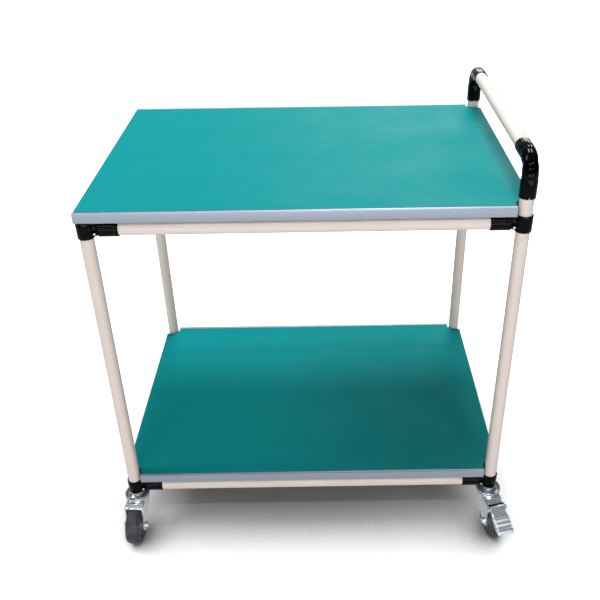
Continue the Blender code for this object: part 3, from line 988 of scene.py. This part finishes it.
def tread():
    """The rubber tread: a crowned rolling face with rounded shoulders and a bead each side."""
    half = [
        (WHEEL_RADIUS - depth, across) for depth, across in (
            (0.0001, 0.0), (0.0, 0.0032), (0.0003, 0.0074), (0.0012, 0.0110), (0.0028, 0.0136),
            (0.0048, 0.0146), (0.0078, 0.0147), (0.0092, 0.0142), (0.0100, 0.0144), (0.0108, 0.0137),
        )
    ]
    half.append((0.0338, 0.0112))
    return along_x(turned(half + mirrored(half[1:]), FINE_SIDES, closed=True))


def core():
    """The moulded core: a rim, a web with stiffening ribs, and a hub bored for the bush."""
    half = [
        (0.0339, 0.0), (0.0339, 0.0113), (0.0334, 0.0129), (0.0318, 0.0131), (0.0308, 0.0110),
        (0.0298, 0.0070), (0.0150, 0.0062), (0.0122, 0.0090), (0.0114, 0.0165), (0.0106, 0.0172),
        (0.0082, 0.0172), (0.0080, 0.0),
    ]
    shape = along_x(turned(half + mirrored(half[1:-1]), FINE_SIDES, closed=True))
    ribs = 8
    outline = rounded([(-0.0011, 0.0112), (0.0011, 0.0112), (0.0011, 0.0312), (-0.0011, 0.0312)], 0.0004)
    for i in range(ribs):
        rib = extruded(X, outline, -0.0100, 0.0100)
        shape = combine(shape, moved(rib, Matrix.Rotation(2 * math.pi * i / ribs, 4, "X")), "UNION")
    return shape


def bush():
    """The plain bearing pressed through the hub, with a flanged end each side."""
    end = HUB_HALF_WIDTH
    half = [(0.0079, end - 0.0010), (0.0100, end - 0.0008), (0.0098, end), (AXLE_RADIUS + 0.0001, end)]
    return along_x(turned(mirrored(half) + half, 48, closed=True))


def axle():
    """The axle bolt along X: chamfered hex head, washers, locknut with its insert, thread end."""
    face = LEG_OUTER
    seat = face + 0.0010
    flats = 0.0130
    head_washer = washer(AXLE_RADIUS, 0.0082, -seat, -face)
    head = hex_solid(flats, -face - 0.0052, -seat, chamfer_high=False)
    shank = rod(AXLE_RADIUS - 0.0001, -face - 0.0012, seat, 40)
    nut_washer = washer(AXLE_RADIUS, 0.0082, face, seat)
    nut = hex_solid(flats, seat, face + 0.0060, chamfer_high=False)
    insert = turned([(0.0062, face + 0.0059), (0.0062, face + 0.0066), (0.0056, face + 0.0071)], 40)
    end = threaded_end(0.0042, face + 0.0065, face + 0.0080, pitch=0.0009)
    return along_x(join(head_washer, head, shank, nut_washer, nut, insert, end))


def smooth_path(points, steps):
    """A curve through points by Catmull-Rom, with steps points on each stretch."""
    path = []
    last = len(points) - 1
    for i in range(last):
        a, b, c, d = (Vector(points[min(max(i + k, 0), last)]) for k in (-1, 0, 1, 2))
        for k in range(steps):
            t = k / steps
            path.append(0.5 * (2 * b + (c - a) * t + (2 * a - 5 * b + 4 * c - d) * t ** 2
                               + (3 * b - a - 3 * c + d) * t ** 3))
    path.append(Vector(points[last]))
    return path


def pedal_half_width(y):
    """The pedal is narrow between the fork's ears and flares toward its tip."""
    return 0.0176 + 0.0022 * ease((-0.012 - y) / 0.010)


def pedal_fall(fall, y):
    """How far the pedal's side is bent down: not at the hinge, and less toward the tip."""
    return fall * ease((0.001 - y) / 0.010) * (1 - 0.65 * ease((-0.046 - y) / 0.011))


def pedal():
    """The stamped brake pedal: a hinge roll, a flat, three pressed ridges, a turned-down tip and sides."""
    top_points = [
        (0.0049, -0.0016), (0.0050, 0.0008), (0.0036, 0.0036), (0.0004, 0.0049), (-0.0030, 0.0040),
        (-0.0048, 0.0020), (-0.0062, 0.0010), (-0.0090, -0.0002), (-0.0160, -0.0034), (-0.0236, -0.0069),
        (-0.0246, -0.0070), (-0.0256, -0.0060), (-0.0272, -0.0063), (-0.0304, -0.0074), (-0.0314, -0.0092),
        (-0.0322, -0.0110), (-0.0332, -0.0112), (-0.0344, -0.0104), (-0.0360, -0.0108), (-0.0392, -0.0120),
        (-0.0402, -0.0140), (-0.0411, -0.0164), (-0.0424, -0.0176), (-0.0446, -0.0184), (-0.0466, -0.0192),
        (-0.0480, -0.0184), (-0.0496, -0.0186), (-0.0538, -0.0202), (-0.0550, -0.0216), (-0.0562, -0.0240),
        (-0.0572, -0.0262), (-0.0578, -0.0276),
    ]
    section = ((0.0, 0.0), (0.3, 0.0), (0.6, 0.0), (0.80, 0.0), (0.88, 0.0002), (0.94, 0.0008))
    section += ((0.975, 0.0017), (0.994, 0.0028), (1.0, 0.0045), (1.0, 0.0085))
    section = [(-share, fall) for share, fall in reversed(section[1:])] + list(section)
    path = smooth_path(top_points, 3)
    thick = 0.0018
    under = []
    for i, point in enumerate(path):
        ahead = path[min(i + 1, len(path) - 1)] - path[max(i - 1, 0)]
        normal = Vector((ahead.y, -ahead.x)).normalized()
        if normal.y > 0:
            normal = -normal
        under.append(point + normal * thick)
    side_thick = 0.0014
    rings = []
    for share, fall in section:
        inward = math.copysign(side_thick, share) * ease((abs(share) - 0.80) / 0.17)
        ring = []
        for point in path:
            ring.append((share * pedal_half_width(point.x), point.x, point.y - pedal_fall(fall, point.x)))
        for point in reversed(under):
            drop = max(pedal_fall(fall, point.x) - thick, 0.0)
            ring.append((share * pedal_half_width(point.x) - inward, point.x, point.y - drop))
        rings.append(ring)
    return loft(rings)


def pedal_pin():
    """The pedal's pin along X, with a domed rivet head at each end."""
    face = LEG_OUTER
    half = [(0.0029, face), (0.0043, face + 0.0001), (0.0034, face + 0.0014), (0.0012, face + 0.0020)]
    return along_x(turned(mirrored(half) + half, 32))


def make_caster(corner):
    def add(name, shape, finish, body, slot, node, place, **settings):
        stands_for = [node + corner] if node else ()
        add_piece(name + corner, shape, [finish], body + corner, slot, stands_for, place, **settings)

    place = caster_place(corner)
    axle_place = place @ at(0, -TRAIL, AXLE_HEIGHT)
    braked = "brake_pedal_" + corner in frame["nodes"]
    pin = place.inverted() @ Vector(JOINTS[corner + "_brake_press"]["pos_m"]) if braked else None
    add_piece("upper_race_" + corner, upper_race(), [RACE_ZINC_WITH_PAINTED_SHADE], "frame", "caster_zinc",
              ["caster_head_" + corner], place)
    add_piece("caster_stem_" + corner, stem(), [BOLT_ZINC], "frame", "caster_zinc", (), place, whole=False)
    add("ball_race_", ball_race(), BOLT_ZINC, "swivel_", "caster_zinc", "", place, whole=False)
    add("fork_", fork(braked, pin), ZINC, "swivel_", "caster_zinc", "caster_fork_", place, edge=0.0004)
    add("axle_bolt_", axle(), BOLT_ZINC, "swivel_", "caster_zinc", "caster_axle_", axle_place, whole=False)
    add("tread_", tread(), TREAD, "wheel_", "wheel_rubber", "caster_wheel_", axle_place)
    add("wheel_core_", core(), CORE, "wheel_", "wheel_rubber", "", axle_place)
    add("wheel_bush_", bush(), BOLT_ZINC, "wheel_", "caster_zinc", "", axle_place)
    if braked:
        pedal_place = place @ Matrix.Translation(pin)
        add("pedal_plate_", pedal(), PEDAL_ZINC, "pedal_", "pedal_steel", "brake_pedal_", pedal_place,
            edge=0.0003)
        add("pedal_pin_", pedal_pin(), BOLT_ZINC, "pedal_", "pedal_steel", "", pedal_place)


for caster_corner in CORNERS:
    make_caster(caster_corner)


# Stage

def add_floor():
    """A plain pale floor that runs far past the view. It glows, and looks lighter than it lights the cart; to
    the camera its glow is dimmed by ambient occlusion, which paints a shadow under the cart.
    """
    shape = bmesh.new()
    bmesh.ops.create_circle(shape, cap_ends=True, segments=96, radius=30.0)
    mesh = mesh_of(shape, "floor")
    finish = Finish("floor_glow_and_painted_shadow", (0.40, 0.40, 0.40), 0.85, Emission_Color=(1.0, 1.0, 1.0, 1.0))
    # Painted shadow: the glow that the camera sees is scaled by ambient occlusion, so the floor darkens under
    # and beside the cart
    painted_shadow_ao = finish.node("AmbientOcclusion", samples=8)
    painted_shadow_ao.inputs["Distance"].default_value = 0.7
    glow_with_painted_shadow = finish.node("Mix", data_type="FLOAT")
    glow_with_painted_shadow.inputs["A"].default_value = 0.30
    finish.link(remap(finish.tree, painted_shadow_ao.outputs["AO"], 0.40, 0.95, 0.0, 1.25), glow_with_painted_shadow.inputs["B"])
    finish.link(finish.node("LightPath").outputs["Is Camera Ray"], glow_with_painted_shadow.inputs["Factor"])
    finish.link(glow_with_painted_shadow.outputs["Result"], finish.shader.inputs["Emission Strength"])
    finish.set_socket("Specular IOR Level", 0.1)
    finish.tint(finish.noise(1.5), 0.4, 0.7, 0.3, (0.39, 0.39, 0.394))
    mesh.materials.append(finish.material)
    floor = add_object("floor", mesh)


def add_light(name, place, target, size, power):
    lamp = bpy.data.lights.new(name, "AREA")
    lamp.shape = "RECTANGLE"
    lamp.size, lamp.size_y = size
    lamp.energy = power
    light = add_object(name, lamp)
    light.location = place
    light.rotation_euler = (Vector(target) - Vector(place)).to_track_quat("-Z", "Y").to_euler()


def add_world():
    """A calm surround, darker in front than behind, that shows as a white backdrop."""
    world = bpy.data.worlds.new("studio")
    world.use_nodes = True
    tree = world.node_tree
    nodes = tree.nodes
    link = tree.links.new
    room = nodes["Background"]

    def product(one, two):
        made = nodes.new("ShaderNodeMath")
        made.operation = "MULTIPLY"
        link(one, made.inputs[0])
        link(two, made.inputs[1])
        return made.outputs[0]

    coordinates = nodes.new("ShaderNodeTexCoord")
    split = nodes.new("ShaderNodeSeparateXYZ")
    link(coordinates.outputs["Generated"], split.inputs[0])
    side, depth = split.outputs["X"], split.outputs["Y"]
    front_to_back = remap(tree, depth, -0.7, 0.9, 0.10, 0.42)
    sideways = remap(tree, product(side, side), 0.05, 0.6, 1.0, 0.12)
    handle_end = remap(tree, side, -0.1, 0.6, 1.0, 0.4)
    link(product(front_to_back, product(sideways, handle_end)), room.inputs["Strength"])
    room.inputs["Color"].default_value = (0.97, 0.985, 1.0, 1.0)
    backdrop = nodes.new("ShaderNodeBackground")
    backdrop.inputs["Color"].default_value = (1.0, 1.0, 1.0, 1.0)
    seen = nodes.new("ShaderNodeLightPath")
    mix = nodes.new("ShaderNodeMixShader")
    link(seen.outputs["Is Camera Ray"], mix.inputs["Fac"])
    link(room.outputs[0], mix.inputs[1])
    link(backdrop.outputs[0], mix.inputs[2])
    link(mix.outputs[0], nodes["World Output"].inputs["Surface"])
    bpy.context.scene.world = world


def add_lights():
    """A soft light high above and behind, two ceiling tubes, and panels at the left, behind and in front."""
    add_light("overhead", (0.08, 1.50, 4.85), (0, 0, 0.85), (1.5, 1.5), 198)
    add_light("tube", (0, -1.95, 2.95), (0, -0.3, 0.8), (3.0, 0.03), 22)
    add_light("far_tube", (0, -3.3, 2.25), (0, -0.3, 0.8), (3.4, 0.035), 22)
    add_light("side", (-3.0, 0, 4.0), (0, 0, 0.2), (1.2, 1.6), 70)
    add_light("panel", (1.1, 3.4, 2.05), (0.2, 0, 0.7), (2.4, 1.1), 42)
    add_light("front", (0.3, -3.6, 0.75), (0, 0, 0.45), (4.6, 0.8), 55)


def add_camera():
    """The camera's place is set from the cart: its lens axis meets the cart's long middle plane."""
    deck_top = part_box("upper_edge_strip_front")[1].z
    middle_x = (middle("post_front_left").x + middle("post_front_right").x) / 2
    yaw, pitch, roll = (math.radians(angle) for angle in (0.04, -31.93, -0.88))
    lens_in_frames = 1.2825
    data = bpy.data.cameras.new("camera")
    data.sensor_width = 36.0
    data.lens = lens_in_frames * data.sensor_width
    data.shift_x = -0.0446
    camera = add_object("camera", data)
    camera.location = (middle_x + 0.0396, -1.6224, deck_top + 0.6196)
    aim = Matrix.Rotation(-yaw, 4, "Z") @ Matrix.Rotation(math.pi / 2 + pitch, 4, "X")
    camera.rotation_euler = (aim @ Matrix.Rotation(roll, 4, "Z")).to_euler()
    bpy.context.scene.camera = camera


add_floor()
add_world()
add_lights()
add_camera()
bpy.context.scene.view_settings.view_transform = "Standard"
